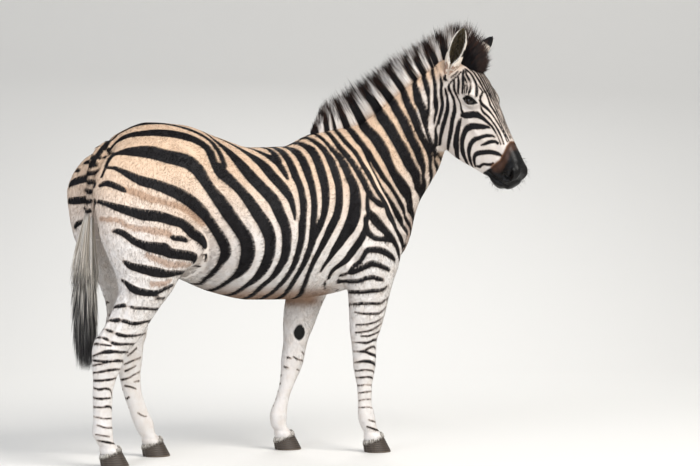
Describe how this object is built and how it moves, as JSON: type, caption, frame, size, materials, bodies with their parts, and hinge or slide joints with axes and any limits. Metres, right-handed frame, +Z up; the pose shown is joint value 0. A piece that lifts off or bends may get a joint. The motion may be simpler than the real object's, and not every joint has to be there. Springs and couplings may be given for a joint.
{
  "type": "zebra",
  "caption": "Life-size plains zebra as a still museum model, standing on four hooves with its head turned to its right.",
  "frame": {"origin": "middle of the model's box at floor level, between the four hooves", "axes": "+X from tail to chest, +Y to the animal's left, +Z up"},
  "size_m": [1.7663, 0.703, 1.7041],
  "materials": {
    "coat": "short flat hair, striped black on white and tan",
    "ear_fur": "short soft hair",
    "hair": "coarse upright and hanging hair",
    "eye": "wet and glossy",
    "hoof": "dull worn horn"
  },
  "bodies": {
    "root": {"trunk": "coat", "neck": "coat", "head": "coat", "ear_left": "ear_fur", "ear_right": "ear_fur", "eye_left": "eye", "eye_right": "eye", "mane": "hair", "forelock": "hair", "tail_dock": "coat", "tail_switch": "hair", "left_fore_upper_leg": "coat", "left_fore_lower_leg": "coat", "left_fore_hoof": "hoof", "right_fore_upper_leg": "coat", "right_fore_lower_leg": "coat", "right_fore_hoof": "hoof", "left_hind_upper_leg": "coat", "left_hind_lower_leg": "coat", "left_hind_hoof": "hoof", "right_hind_upper_leg": "coat", "right_hind_lower_leg": "coat", "right_hind_hoof": "hoof"}
  },
  "joints": []
}
